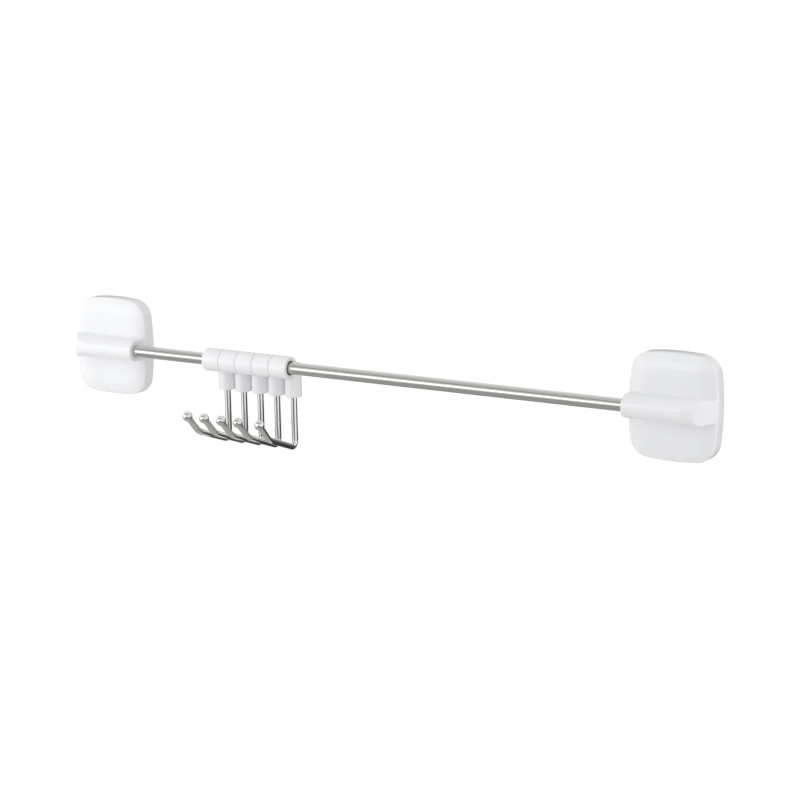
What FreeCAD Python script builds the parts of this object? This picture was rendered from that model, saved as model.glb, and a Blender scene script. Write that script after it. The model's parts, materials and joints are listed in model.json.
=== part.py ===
import FreeCAD, Part
import math
import os
import re

import Sketcher

# Kitchen utensil rail: a steel tube between two wall pads, with five sliding hooks on it.
# Millimetres. +X runs along the rail to the right, +Y into the wall and +Z up.
# The origin is on the tube's axis, half-way along it.

V = FreeCAD.Vector
DOC = FreeCAD.newDocument("utensil_rail")
SHEET = DOC.addObject("Spreadsheet::Sheet", "sizes")

# Driving dimensions: each size that can be set by itself is written once, here.
SIZES = {
    # the tube
    "bar_diameter": 10.0,
    "bar_wall": 0.8,
    "bar_end_break": 0.25,
    # the wall pads: outline, from the front
    "pad_span": 529.0,
    "pad_width": 73.5,
    "pad_height": 84.0,
    "pad_corner": 16.0,
    "side_bow": 230.0,
    "end_bow": 200.0,
    # the wall pads: depths behind the tube's axis
    "pad_face": 8.2,
    "pad_depth": 14.6,
    "crown_width": 14.0,
    "crown_bow": 33.0,
    "edge_round": 2.0,
    # the moulded shell of a pad
    "shell_wall": 2.2,
    "shell_front": 2.6,
    "crown_step": 2.8,
    "step_inset": 15.0,
    "rib_thick": 1.4,
    # the socket that holds the tube's end, across the pad's face
    "socket_radius": 9.1,
    "socket_setback": 2.15,
    "socket_depth": 46.0,
    "socket_fit": 0.06,
    "socket_round": 0.9,
    "run_out_start": 19.5,
    "run_out_shoulder": 22.6,
    "run_out_middle": 26.2,
    "run_out_edge": 0.8,
    "shoulder_drop": 0.9,
    "run_out_waist": 9.8,
    "run_out_foot": 9.3,
    "run_out_drop": 4.2,
    # the back plate, its screws and the adhesive pad
    "plate_thick": 2.0,
    "plate_gap": 0.25,
    "boss_across": 22.0,
    "boss_up": 26.0,
    "boss_radius": 3.6,
    "screw_radius": 1.5,
    "screw_length": 9.0,
    "screw_head_radius": 2.9,
    "screw_head_deep": 1.5,
    "screw_hole_gap": 0.25,
    "screw_seat_gap": 0.03,
    "pilot_gap": 0.02,
    "pilot_spare": 1.5,
    "adhesive_thick": 2.4,
    "adhesive_inset": 3.6,
    # the plug in the tube's end and the screw that locks it
    "plug_length": 20.0,
    "plug_flange": 1.2,
    "plug_gap": 0.03,
    "tube_end_gap": 0.3,
    "lock_setback": 9.0,
    "lock_radius": 1.5,
    "lock_reach": 12.0,
    "lock_head_radius": 3.0,
    "lock_head_high": 1.8,
    "lock_hole_gap": 0.3,
    # the row of hooks
    "row_start": -155.2,
    "sleeve_length": 16.4,
    "sleeve_gap": 0.3,
    "sleeve_radius": 9.5,
    "sleeve_round": 1.4,
    "mouth_radius": 6.1,
    "mouth_break": 0.4,
    "lip_length": 1.6,
    "hang_tilt": 2.0,
    "last_hook_turn": 4.3,
    # the split bush inside each sleeve
    "bush_run": 0.06,
    "bush_wall": 1.5,
    "bush_play": 0.06,
    "bush_slot": 1.2,
    "bush_break": 0.3,
    # the moulded drop behind each sleeve, which holds the wire
    "drop_setback": 15.9,
    "drop_radius": 7.0,
    "drop_top": 3.0,
    "drop_bottom": 28.0,
    "drop_top_round": 2.0,
    "drop_foot_round": 0.9,
    "neck_width": 9.0,
    "neck_down": 7.5,
    # the wire hook and its ball end
    "wire_radius": 2.5,
    "wire_top": 16.0,
    "wire_fit": 0.02,
    "corner_down": 72.2,
    "corner_bend": 4.6,
    "run_reach": 44.6,
    "run_rise": 16.9,
    "tip_bend": 20.0,
    "tip_reach": 14.7,
    "tip_rise": 15.8,
    "ball_radius": 4.15,
    "ball_seat": 2.6,
}

for row, (name, size) in enumerate(SIZES.items(), 1):
    SHEET.set(f"A{row}", name)
    SHEET.set(f"B{row}", str(size))
    SHEET.setAlias(f"B{row}", name)
DOC.recompute()

HOOKS = 5


def formula(text):
    """Point each size named in an expression at its cell."""
    return re.sub(r"[a-z][a-z_]*[a-z]", lambda m: f"sizes.{m[0]}" if m[0] in SIZES else m[0], str(text))


def value(text):
    """The number that an expression of named sizes has now."""
    return float(SHEET.evalExpression(formula(text)))


def bind(thing, prop, text):
    """Tie a property of an object to an expression of named sizes."""
    thing.setExpression(prop, formula(text))


# Expressions that more than one piece uses.
HALF_SPAN = "pad_span / 2"
PAD_BACK = "(pad_face + pad_depth)"
SOCKET_MOUTH = "(pad_width / 2 - socket_setback)"
TUBE_END = "(socket_depth - pad_width / 2 + socket_setback - tube_end_gap - plug_flange)"
LOCK_PLACE = f"({TUBE_END} - lock_setback)"
FLOOR = "(pad_face + shell_front)"
PITCH = "(sleeve_length + sleeve_gap)"
GROOVE_RADIUS = "(bar_diameter / 2 + bush_run + bush_wall + bush_play)"
CENTRE_LINE = "0 * pad_width"


def new_body(label):
    """An empty body whose label is the node's name."""
    body = DOC.addObject("PartDesign::Body", label)
    body.Label = label
    return body


def new_sketch(body, name, role, offset="0", shift="0"):
    """A sketch on one of the body's own origin planes, moved along its normal and across by expressions."""
    plane = next(item for item in body.Origin.OriginFeatures if item.Role == role)
    sketch = body.newObject("Sketcher::SketchObject", name)
    sketch.AttachmentSupport = [(plane, "")]
    sketch.MapMode = "FlatFace"
    for prop, text in (("x", shift), ("z", offset)):
        if text != "0":
            bind(sketch, f"AttachmentOffset.Base.{prop}", text)
    return sketch


def hold(sketch, kind, geometry, point, text):
    """Hold a point's distance from the sketch's origin, along one axis, at an expression."""
    index = sketch.addConstraint(Sketcher.Constraint(kind, -1, 1, geometry, point, value(text)))
    sketch.setExpression(f"Constraints[{index}]", formula(text))


def pin(sketch, geometry, point, across, up):
    """Hold a point of a sketch at two expressions."""
    hold(sketch, "DistanceX", geometry, point, across)
    hold(sketch, "DistanceY", geometry, point, up)


def add_circle(sketch, radius, across="0", up="0"):
    """A circle with its centre and radius held by expressions."""
    centre = V(value(across), value(up), 0)
    geometry = sketch.addGeometry(Part.Circle(centre, V(0, 0, 1), value(radius)))
    index = sketch.addConstraint(Sketcher.Constraint("Radius", geometry, value(radius)))
    sketch.setExpression(f"Constraints[{index}]", formula(radius))
    pin(sketch, geometry, 3, across, up)


def add_outline(sketch, points, bends=None, closed=True):
    """Straight sides through named points; a bend swaps the side after a point for an arc through a third."""
    bends = bends or {}
    places = [V(value(across), value(up), 0) for across, up in points]
    count = len(points) if closed else len(points) - 1
    sides = []
    for start in range(count):
        here, there = places[start], places[(start + 1) % len(places)]
        if start in bends:
            middle = V(*(value(text) for text in bends[start]), 0)
            sides.append(sketch.addGeometry(Part.Arc(here, middle, there)))
        else:
            sides.append(sketch.addGeometry(Part.LineSegment(here, there)))
    for start, side in enumerate(sides):
        first, second = arc_ends(sketch, side, places[start])
        pin(sketch, side, first, *points[start])
        if start in bends:
            pin(sketch, side, second, *points[(start + 1) % len(points)])
            spot = hold_point(sketch, *bends[start])
            sketch.addConstraint(Sketcher.Constraint("PointOnObject", spot, 1, side))
        elif not closed and start == count - 1:
            pin(sketch, side, second, *points[-1])
        else:
            following = sides[(start + 1) % len(sides)]
            joint = arc_ends(sketch, following, places[(start + 1) % len(places)])[0]
            sketch.addConstraint(Sketcher.Constraint("Coincident", side, second, following, joint))
    return sides


def arc_ends(sketch, side, start):
    """Which end of a side is its start in the outline, and which is its finish."""
    return (1, 2) if sketch.getPoint(side, 1).distanceToPoint(start) < 1e-6 else (2, 1)


def hold_point(sketch, across, up):
    """A construction point held at two expressions."""
    spot = sketch.addGeometry(Part.Point(V(value(across), value(up), 0)))
    pin(sketch, spot, 1, across, up)
    sketch.setConstruction(spot, True)
    return spot


def add_pad_outline(sketch, inset="0"):
    """The pad's rounded outline: four bowed sides and four corner arcs, all tangent, moved inwards."""
    move = value(inset)
    width, height = value("pad_width") / 2 - move, value("pad_height") / 2 - move
    corner, side, end = (value(name) - move for name in ("pad_corner", "side_bow", "end_bow"))
    side_centre, end_centre = width - side, height - end
    # The corner's centre is (side - corner) from the side arc's centre and (end - corner) from the end arc's.
    near, far = side - corner, end - corner
    gap = math.hypot(side_centre, end_centre)
    along = (near**2 - far**2 + gap**2) / (2 * gap)
    off = math.sqrt(near**2 - along**2)
    unit = (-side_centre / gap, end_centre / gap)
    corner_x = side_centre + along * unit[0] - off * unit[1]
    corner_y = along * unit[1] + off * unit[0]
    if corner_x < 0 or corner_y < 0:
        corner_x = side_centre + along * unit[0] + off * unit[1]
        corner_y = along * unit[1] - off * unit[0]
    side_turn = math.atan2(corner_y, corner_x - side_centre)
    end_turn = math.atan2(corner_y - end_centre, corner_x)
    quarter = math.pi / 2
    arcs = []
    for centre, radius, start, finish in (
        (V(side_centre, 0, 0), side, -side_turn, side_turn),
        (V(corner_x, corner_y, 0), corner, side_turn, end_turn),
        (V(0, end_centre, 0), end, end_turn, 2 * quarter - end_turn),
        (V(-corner_x, corner_y, 0), corner, 2 * quarter - end_turn, 2 * quarter - side_turn),
        (V(-side_centre, 0, 0), side, 2 * quarter - side_turn, 2 * quarter + side_turn),
        (V(-corner_x, -corner_y, 0), corner, 2 * quarter + side_turn, 2 * quarter + end_turn),
        (V(0, -end_centre, 0), end, 2 * quarter + end_turn, 4 * quarter - end_turn),
        (V(corner_x, -corner_y, 0), corner, -end_turn, -side_turn),
    ):
        circle = Part.Circle(centre, V(0, 0, 1), radius)
        arcs.append(sketch.addGeometry(Part.ArcOfCircle(circle, start, finish)))
    for index, arc in enumerate(arcs):
        sketch.addConstraint(Sketcher.Constraint("Tangent", arc, 2, arcs[(index + 1) % 8], 1))
    radii = ["side_bow", "pad_corner", "end_bow"]
    for arc, name in zip(arcs[:3], radii):
        index = sketch.addConstraint(Sketcher.Constraint("Radius", arc, value(f"{name} - ({inset})")))
        sketch.setExpression(f"Constraints[{index}]", formula(f"{name} - ({inset})"))
    for first, second in ((0, 4), (1, 3), (1, 5), (1, 7), (2, 6)):
        sketch.addConstraint(Sketcher.Constraint("Equal", arcs[first], arcs[second]))
    pin(sketch, arcs[0], 3, "pad_width / 2 - side_bow", "0")
    pin(sketch, arcs[4], 3, "side_bow - pad_width / 2", "0")
    pin(sketch, arcs[2], 3, "0", "pad_height / 2 - end_bow")
    pin(sketch, arcs[6], 3, "0", "end_bow - pad_height / 2")


def feature(body, kind, name, profile=None, **sizes):
    """A solid feature of a body, its sizes tied to expressions or set as plain properties."""
    made = body.newObject(f"PartDesign::{kind}", name)
    if profile is not None:
        made.Profile = profile
    for prop, setting in sizes.items():
        if isinstance(setting, str):
            bind(made, prop, setting)
        else:
            setattr(made, prop, setting)
    return made


def settle(body, last):
    """Make a feature the body's last one and work the body out."""
    body.Tip = last
    DOC.recompute()
    return body.Shape.Volume


def cut_takes(body, last, before, name):
    """Work out a cut and stop if it has taken nothing away."""
    after = settle(body, last)
    if after > before - 1e-3:
        raise RuntimeError(f"{name} cuts nothing")
    return after


def edges_where(shape, test):
    """The names of the edges whose middle point and edge pass a test."""
    names = []
    for number, edge in enumerate(shape.Edges, 1):
        middle = edge.valueAt((edge.FirstParameter + edge.LastParameter) / 2)
        if test(middle, edge):
            names.append(f"Edge{number}")
    return names


def round_edges(body, kind, name, last, names, size, prop="Radius"):
    """Fillet or chamfer some edges of a body's last feature."""
    if not names:
        raise RuntimeError(f"{name} finds no edge")
    made = body.newObject(f"PartDesign::{kind}", name)
    made.Base = (last, names)
    bind(made, prop, size)
    settle(body, made)
    return made


def build_tube():
    """The rail itself: a plain steel tube, drilled near each end for its lock screw."""
    body = new_body("rail_tube")
    ring = new_sketch(body, "tube_section", "YZ_Plane")
    add_circle(ring, "bar_diameter / 2")
    add_circle(ring, "bar_diameter / 2 - bar_wall")
    tube = feature(body, "Pad", "tube", ring, Length=f"pad_span + 2 * {TUBE_END}", Midplane=True)
    settle(body, tube)
    half = value(f"{HALF_SPAN} + {TUBE_END}")
    outer = value("bar_diameter / 2")
    rims = edges_where(
        body.Shape,
        lambda p, e: abs(abs(p.x) - half) < 1e-3 and abs(math.hypot(p.y, p.z) - outer) < 1e-3,
    )
    round_edges(body, "Chamfer", "broken_ends", tube, rims, "bar_end_break", "Size")
    before = body.Shape.Volume
    drill = new_sketch(body, "lock_holes", "XZ_Plane")
    for sign in ("", "-"):
        add_circle(drill, "lock_radius + lock_hole_gap", f"{sign}({HALF_SPAN} + {LOCK_PLACE})")
    holes = feature(body, "Pocket", "drilled", drill, Length="bar_diameter / 2")
    cut_takes(body, holes, before, "rail_tube lock holes")


def run_out_section(body, name, across, half_width, crest, spring):
    """One section across the socket, where it runs out towards the pad's outer edge."""
    sketch = new_sketch(body, name, "YZ_Plane", across)
    add_outline(
        sketch,
        [
            (f"{PAD_BACK} - plate_thick - shell_wall", f"-({half_width})"),
            (spring, f"-({half_width})"),
            (spring, half_width),
            (f"{PAD_BACK} - plate_thick - shell_wall", half_width),
        ],
        bends={1: (crest, "0")},
    )
    return sketch


def build_cover(side, place):
    """A pad's white shell: bowed outline, crowned front, and the socket moulded across it."""
    body = new_body(f"{side}_cover")
    outline = new_sketch(body, "outline", "XZ_Plane", f"-{PAD_BACK}")
    add_pad_outline(outline)
    block = feature(body, "Pad", "block", outline, Length="pad_depth")
    before = settle(body, block)

    # The crown: an arc from the flat of the face, then a small round into the side wall.
    edge = new_sketch(body, "crown_edge", "XY_Plane")
    wall, face = "pad_width / 2", "pad_face"
    inner = "crown_width - edge_round"
    centre_y = f"pad_face + crown_bow - sqrt((crown_bow - edge_round)^2 - ({inner})^2)"
    share = "crown_bow / (crown_bow - edge_round)"
    meet = (
        f"pad_width / 2 - crown_width + ({inner}) * {share}",
        f"pad_face + crown_bow - sqrt((crown_bow - edge_round)^2 - ({inner})^2) * {share}",
    )
    half_turn = f"atan(({inner}) / sqrt((crown_bow - edge_round)^2 - ({inner})^2)) / 2"
    middle = (
        f"pad_width / 2 - crown_width + crown_bow * sin({half_turn})",
        f"pad_face + crown_bow - crown_bow * cos({half_turn})",
    )
    round_turn = f"(90 - 2 * {half_turn} / 1 deg) * 1 deg / 2"
    round_middle = (
        f"pad_width / 2 - edge_round + edge_round * cos({round_turn})",
        f"({centre_y}) - edge_round * sin({round_turn})",
    )
    add_outline(
        edge,
        [
            (f"{wall} - crown_width", face),
            meet,
            (wall, centre_y),
            (f"{wall} + edge_round", centre_y),
            (f"{wall} + edge_round", f"{face} - edge_round"),
            (f"{wall} - crown_width", f"{face} - edge_round"),
        ],
        bends={0: middle, 1: round_middle},
    )
    crown = feature(body, "SubtractivePipe", "crown", edge)
    crown.Spine = (outline, [f"Edge{number}" for number in range(1, 9)])
    before = cut_takes(body, crown, before, f"{side}_cover crown")

    # The socket: a half-round rib across the face that runs out to the pad's outer edge.
    rib = new_sketch(body, "socket_section", "YZ_Plane", f"-{SOCKET_MOUTH}")
    add_outline(
        rib,
        [
            (f"{PAD_BACK} - plate_thick - shell_wall", "-socket_radius"),
            (CENTRE_LINE, "-socket_radius"),
            (CENTRE_LINE, "socket_radius"),
            (f"{PAD_BACK} - plate_thick - shell_wall", "socket_radius"),
        ],
        bends={1: ("-socket_radius", "0")},
    )
    socket = feature(body, "Pad", "socket", rib, Length=f"{SOCKET_MOUTH} + run_out_start")
    settle(body, socket)
    foot_face = "pad_face + crown_step"
    sections = [
        run_out_section(body, name, across, half_width, crest, spring)
        for name, across, half_width, crest, spring in (
            ("run_out_a", "run_out_start", "socket_radius", "-socket_radius", CENTRE_LINE),
            (
                "run_out_b",
                "run_out_shoulder",
                "socket_radius",
                "shoulder_drop - socket_radius",
                "shoulder_drop",
            ),
            ("run_out_c", "run_out_middle", "run_out_waist", "run_out_drop - socket_radius", "run_out_drop"),
            (
                "run_out_d",
                "pad_width / 2 - run_out_edge",
                "run_out_foot",
                f"{foot_face} - run_out_edge",
                f"{foot_face} + edge_round",
            ),
        )
    ]
    run_out = feature(body, "AdditiveLoft", "run_out", sections[0])
    run_out.Sections = sections[1:]
    settle(body, run_out)

    mouth = value(f"-{SOCKET_MOUTH}")
    lip = edges_where(
        body.Shape,
        lambda p, e: abs(p.x - mouth) < 1e-3 and p.y < value("pad_face") - 0.5 and e.Length > 3,
    )
    round_edges(body, "Fillet", "mouth_round", run_out, lip, "socket_round")
    before = body.Shape.Volume

    # The bore for the tube, closed at its inner end.
    bore = new_sketch(body, "bore_section", "YZ_Plane", f"-{SOCKET_MOUTH}")
    add_circle(bore, "bar_diameter / 2 + socket_fit")
    bored = feature(body, "Pocket", "bore", bore, Length="socket_depth", Reversed=True)
    before = cut_takes(body, bored, before, f"{side}_cover bore")

    # The hollow behind the face, shallower under the crown and deeper in the middle.
    hollow = new_sketch(body, "hollow_section", "XZ_Plane", f"-{PAD_BACK}")
    add_pad_outline(hollow, "shell_wall")
    hollowed = feature(
        body, "Pocket", "hollow", hollow, Length="pad_depth - shell_front - crown_step", Reversed=True
    )
    before = cut_takes(body, hollowed, before, f"{side}_cover hollow")
    deep = new_sketch(body, "deep_section", "XZ_Plane", f"-{PAD_BACK}")
    add_pad_outline(deep, "step_inset")
    deepened = feature(body, "Pocket", "deep", deep, Length="pad_depth - shell_front", Reversed=True)
    cut_takes(body, deepened, before, f"{side}_cover deep hollow")

    # Four screw bosses, and thin ribs from boss to boss, stand under the back plate.
    reach = "pad_depth - plate_thick - shell_front / 2"
    bosses = new_sketch(body, "boss_sections", "XZ_Plane", f"-({PAD_BACK} - plate_thick)")
    for across, up in boss_places():
        add_circle(bosses, "boss_radius", across, up)
    settle(body, feature(body, "Pad", "bosses", bosses, Length=reach))
    for name, flat in (("level_ribs", True), ("upright_ribs", False)):
        lattice = new_sketch(body, f"{name}_section", "XZ_Plane", f"-({PAD_BACK} - plate_thick)")
        for sign in ("", "-"):
            add_rib(lattice, flat, sign)
        before = settle(body, feature(body, "Pad", name, lattice, Length=reach))
    pilots = new_sketch(body, "pilots", "XZ_Plane", f"-({PAD_BACK} - plate_thick)")
    for across, up in boss_places():
        add_circle(pilots, "screw_radius + pilot_gap", across, up)
    piloted = feature(
        body,
        "Pocket",
        "pilot_holes",
        pilots,
        Length="screw_length - plate_thick + pilot_spare",
        Reversed=True,
    )
    before = cut_takes(body, piloted, before, f"{side}_cover pilot holes")

    # The lock screw's hole, through the floor into the bore.
    lock = new_sketch(body, "lock_hole", "XZ_Plane", f"-({FLOOR} + shell_front)")
    add_circle(lock, "lock_radius + lock_hole_gap", LOCK_PLACE)
    locked = feature(body, "Pocket", "lock", lock, Length=f"{FLOOR} + shell_front", Reversed=True)
    cut_takes(body, locked, before, f"{side}_cover lock hole")
    put(body, place)


def add_rib(sketch, flat, sign):
    """A thin rectangle from one screw boss to the next, level or upright."""
    reach, place = ("boss_across", "boss_up") if flat else ("boss_up", "boss_across")
    ends = f"-{reach}", reach
    sides = f"{sign}{place} - rib_thick / 2", f"{sign}{place} + rib_thick / 2"
    across, up = (ends, sides) if flat else (sides, ends)
    add_outline(sketch, [(across[0], up[0]), (across[1], up[0]), (across[1], up[1]), (across[0], up[1])])


def boss_places():
    """Where the four screws of a back plate go, in the pad's own frame."""
    return [(f"{x}boss_across", f"{y}boss_up") for x in ("", "-") for y in ("", "-")]


def build_plate(side, place):
    """The flat plate that closes a pad's back, countersunk for its four screws."""
    body = new_body(f"{side}_back_plate")
    outline = new_sketch(body, "plate_outline", "XZ_Plane", f"-{PAD_BACK}")
    add_pad_outline(outline, "shell_wall + plate_gap")
    plate = feature(body, "Pad", "plate", outline, Length="plate_thick")
    before = settle(body, plate)
    holes = new_sketch(body, "screw_holes", "XZ_Plane", f"-{PAD_BACK}")
    for across, up in boss_places():
        add_circle(holes, "screw_radius + screw_hole_gap", across, up)
    drilled = feature(body, "Pocket", "drilled", holes, Length="plate_thick", Reversed=True)
    before = cut_takes(body, drilled, before, f"{side}_back_plate holes")
    rims = edges_where(
        body.Shape,
        lambda p, e: abs(p.y - value(PAD_BACK)) < 1e-3
        and e.Length < value("2 * 3.2 * (screw_radius + screw_hole_gap)"),
    )
    countersunk = body.newObject("PartDesign::Chamfer", "countersinks")
    countersunk.Base = (drilled, rims)
    countersunk.ChamferType = "Two distances"
    bind(countersunk, "Size", "screw_head_radius - screw_radius - screw_hole_gap")
    bind(countersunk, "Size2", "screw_head_deep")
    countersunk.FlipDirection = False
    settle(body, countersunk)
    put(body, place)


def build_adhesive(side, place):
    """The soft self-adhesive pad that holds the rail to the wall."""
    body = new_body(f"{side}_adhesive_pad")
    outline = new_sketch(body, "pad_outline", "XZ_Plane", f"-({PAD_BACK} + adhesive_thick)")
    add_pad_outline(outline, "adhesive_inset")
    sheet = feature(body, "Pad", "pad_sheet", outline, Length="adhesive_thick")
    settle(body, sheet)
    put(body, place)


def turn(body, name, role, profile, axis, bends=None, shift="0"):
    """Turn a profile, drawn in one of the body's planes, about one of its own axes."""
    sketch = new_sketch(body, f"{name}_profile", role, shift=shift)
    add_outline(sketch, profile, bends)
    turned = body.newObject("PartDesign::Revolution", name)
    turned.Profile = sketch
    turned.ReferenceAxis = (sketch, [axis])
    turned.Angle = 360
    return settle(body, turned)


def build_plate_screw(label, place, across, up):
    """A countersunk screw of the back plate, head flush with the plate."""
    body = new_body(label)
    head, tip = PAD_BACK, f"{PAD_BACK} - screw_length"
    profile = [
        (CENTRE_LINE, head),
        (CENTRE_LINE, tip),
        ("screw_radius / 2", tip),
        ("screw_radius", f"{tip} + screw_radius"),
        ("screw_radius", f"{head} - screw_head_deep"),
        ("screw_radius + screw_hole_gap - screw_seat_gap", f"{head} - screw_head_deep"),
        ("screw_head_radius - screw_seat_gap", head),
    ]
    turn(body, "plate_screw", "XY_Plane", profile, "V_Axis")
    put(body, place, across, up)
    return body


def build_plate_screws(side, place):
    """The four screws of a back plate, alike, as one group of separate solids."""
    screws = [
        build_plate_screw(f"{side}_plate_screw_{number}", place, across, up)
        for number, (across, up) in enumerate(boss_places(), 1)
    ]
    group = DOC.addObject("Part::Compound", f"{side}_plate_screws")
    group.Label = f"{side}_plate_screws"
    group.Links = screws


def build_lock_screw(side, place):
    """The screw that locks the tube: through the pad's floor and the tube's wall into the plug."""
    body = new_body(f"{side}_lock_screw")
    seat, tip = FLOOR, f"{FLOOR} - lock_reach"
    profile = [
        (CENTRE_LINE, f"{seat} + lock_head_high"),
        (CENTRE_LINE, tip),
        ("lock_radius / 2", tip),
        ("lock_radius", f"{tip} + lock_radius"),
        ("lock_radius", seat),
        ("lock_head_radius", seat),
        ("lock_head_radius", f"{seat} + lock_head_high / 2"),
        ("lock_head_radius / 1.5", f"{seat} + lock_head_high"),
    ]
    turn(body, "lock_screw", "XY_Plane", profile, "V_Axis")
    put(body, place, LOCK_PLACE)


def build_plug(side, place):
    """The moulded plug in the tube's end, flanged, with a pilot hole for the lock screw."""
    body = new_body(f"{side}_tube_plug")
    inside = "bar_diameter / 2 - bar_wall - plug_gap"
    core = new_sketch(body, "plug_section", "YZ_Plane", f"{TUBE_END} - plug_length")
    add_circle(core, inside)
    plug = feature(body, "Pad", "plug", core, Length="plug_length")
    settle(body, plug)
    rim = new_sketch(body, "flange_section", "YZ_Plane", TUBE_END)
    add_circle(rim, "bar_diameter / 2 - bar_end_break")
    flange = feature(body, "Pad", "flange", rim, Length="plug_flange")
    before = settle(body, flange)
    hole = new_sketch(body, "plug_pilot", "XZ_Plane", "-bar_diameter / 2")
    add_circle(hole, "lock_radius + pilot_gap", LOCK_PLACE)
    pilot = feature(
        body,
        "Pocket",
        "pilot",
        hole,
        Length=f"lock_reach - {FLOOR} + bar_diameter / 2 + pilot_spare",
        Reversed=True,
    )
    cut_takes(body, pilot, before, f"{side}_tube_plug pilot")
    put(body, place)


def put(body, place, across="0", up="0"):
    """Place a piece of one end of the rail; the left end is the right one turned half round."""
    turn = "180" if place < 0 else "0"
    sign = "-" if place < 0 else ""
    bind(
        body,
        "Placement",
        f"placement(vector({sign}({HALF_SPAN} + {across}); 0; {sign}({up})); "
        f"rotation(vector(0; 1; 0); {turn}))",
    )


def build_end(side, place):
    """Everything at one end of the rail."""
    build_cover(side, place)
    build_plate(side, place)
    build_adhesive(side, place)
    build_plate_screws(side, place)
    build_lock_screw(side, place)
    build_plug(side, place)


def hook_placement(number, across="0", back="0", down="0", turn="0", lean="0"):
    """Where a hook's piece goes: along the bar, hung at its tilt, then in the hook's own frame."""
    along = f"row_start + sleeve_length / 2 + {number - 1} * {PITCH}"
    hang = f"placement(vector({along}; 0; 0); rotation(vector(1; 0; 0); hang_tilt))"
    step = f"placement(vector({across}; drop_setback; 0); rotation(vector(0; 0; 1); {turn}))"
    own = f"placement(vector(0; {back}; {down}); rotation(vector(1; 0; 0); {lean}))"
    return f"{hang} * {step} * {own}"


def build_bush(number):
    """A split bush that runs on the tube and sits in the groove inside the sleeve."""
    body = new_body(f"hook_{number}_bush")
    inner = "bar_diameter / 2 + bush_run"
    outer = f"{inner} + bush_wall"
    half = "(sleeve_length / 2 - lip_length - bush_play)"
    profile = [
        (f"-{half}", inner),
        (half, inner),
        (half, f"{outer} - bush_break"),
        (f"{half} - bush_break", outer),
        (f"bush_break - {half}", outer),
        (f"-{half}", f"{outer} - bush_break"),
    ]
    before = turn(body, "bush", "XY_Plane", profile, "H_Axis")
    slot = new_sketch(body, "slot_section", "YZ_Plane", f"-{half}")
    wide = "bush_slot / 2"
    add_outline(
        slot,
        [
            (f"-{wide}", CENTRE_LINE),
            (wide, CENTRE_LINE),
            (wide, f"{outer} + bush_play"),
            (f"-{wide}", f"{outer} + bush_play"),
        ],
    )
    split = feature(body, "Pocket", "split", slot, Length=f"2 * {half}", Reversed=True)
    cut_takes(body, split, before, f"hook_{number}_bush split")
    bind(
        body,
        "Placement",
        f"placement(vector(row_start + sleeve_length / 2 + {number - 1} * {PITCH}; 0; 0);"
        " rotation(vector(1; 0; 0); hang_tilt))",
    )


def build_sleeve(number):
    """A hook's white moulding: the ring on the bar and the round drop behind it that holds the wire."""
    body = new_body(f"hook_{number}_sleeve")
    half, lip = "(sleeve_length / 2)", "(sleeve_length / 2 - lip_length)"
    corner = "(sleeve_round - sleeve_round / sqrt(2))"
    profile = [
        (f"-{half}", "sleeve_radius - sleeve_round"),
        (f"-{half}", "mouth_radius + mouth_break"),
        (f"mouth_break - {half}", "mouth_radius"),
        (f"-{lip}", "mouth_radius"),
        (f"-{lip}", GROOVE_RADIUS),
        (lip, GROOVE_RADIUS),
        (lip, "mouth_radius"),
        (f"{half} - mouth_break", "mouth_radius"),
        (half, "mouth_radius + mouth_break"),
        (half, "sleeve_radius - sleeve_round"),
        (f"{half} - sleeve_round", "sleeve_radius"),
        (f"sleeve_round - {half}", "sleeve_radius"),
    ]
    bends = {
        9: (f"{half} - {corner}", f"sleeve_radius - {corner}"),
        11: (f"{corner} - {half}", f"sleeve_radius - {corner}"),
    }
    turn(body, "ring", "XY_Plane", profile, "H_Axis", bends)

    # The drop hangs behind the ring, joined to it by a neck that the ring hides from the front.
    foot = "(drop_foot_round - drop_foot_round / sqrt(2))"
    shoulder = "(drop_top_round - drop_top_round / sqrt(2))"
    profile = [
        (CENTRE_LINE, "-drop_bottom"),
        ("drop_radius - drop_foot_round", "-drop_bottom"),
        ("drop_radius", "drop_foot_round - drop_bottom"),
        ("drop_radius", "drop_top - drop_top_round"),
        ("drop_radius - drop_top_round", "drop_top"),
        (CENTRE_LINE, "drop_top"),
    ]
    bends = {
        1: (f"drop_radius - {foot}", f"{foot} - drop_bottom"),
        3: (f"drop_radius - {shoulder}", f"drop_top - {shoulder}"),
    }
    turn(body, "drop", "YZ_Plane", profile, "V_Axis", bends, "drop_setback")
    neck = new_sketch(body, "neck_section", "XY_Plane", "-neck_down")
    front, back = f"({GROOVE_RADIUS} + sleeve_radius) / 2", "drop_setback"
    wide = "neck_width / 2"
    add_outline(neck, [(f"-{wide}", front), (wide, front), (wide, back), (f"-{wide}", back)])
    web = feature(body, "Pad", "neck", neck, Length="neck_down + drop_top - drop_top_round")
    before = settle(body, web)

    seat = new_sketch(body, "wire_seat", "XY_Plane", "-drop_bottom")
    add_circle(seat, "wire_radius + wire_fit", "0", "drop_setback")
    bored = feature(
        body, "Pocket", "wire_bore", seat, Length="drop_bottom - wire_top + wire_fit", Reversed=True
    )
    cut_takes(body, bored, before, f"hook_{number}_sleeve wire bore")
    bind(
        body,
        "Placement",
        f"placement(vector(row_start + sleeve_length / 2 + {number - 1} * {PITCH}; 0; 0);"
        " rotation(vector(1; 0; 0); hang_tilt))",
    )


def wire_route():
    """The wire's route in its own plane: straight lengths with an arc of given radius at each bend."""
    corners = [
        V(0, -value("wire_top"), 0),
        V(0, -value("corner_down"), 0),
        V(-value("run_reach"), value("run_rise - corner_down"), 0),
        V(-value("run_reach + tip_reach"), value("run_rise + tip_rise - corner_down"), 0),
    ]
    return corners, [value("corner_bend"), value("tip_bend")]


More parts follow.
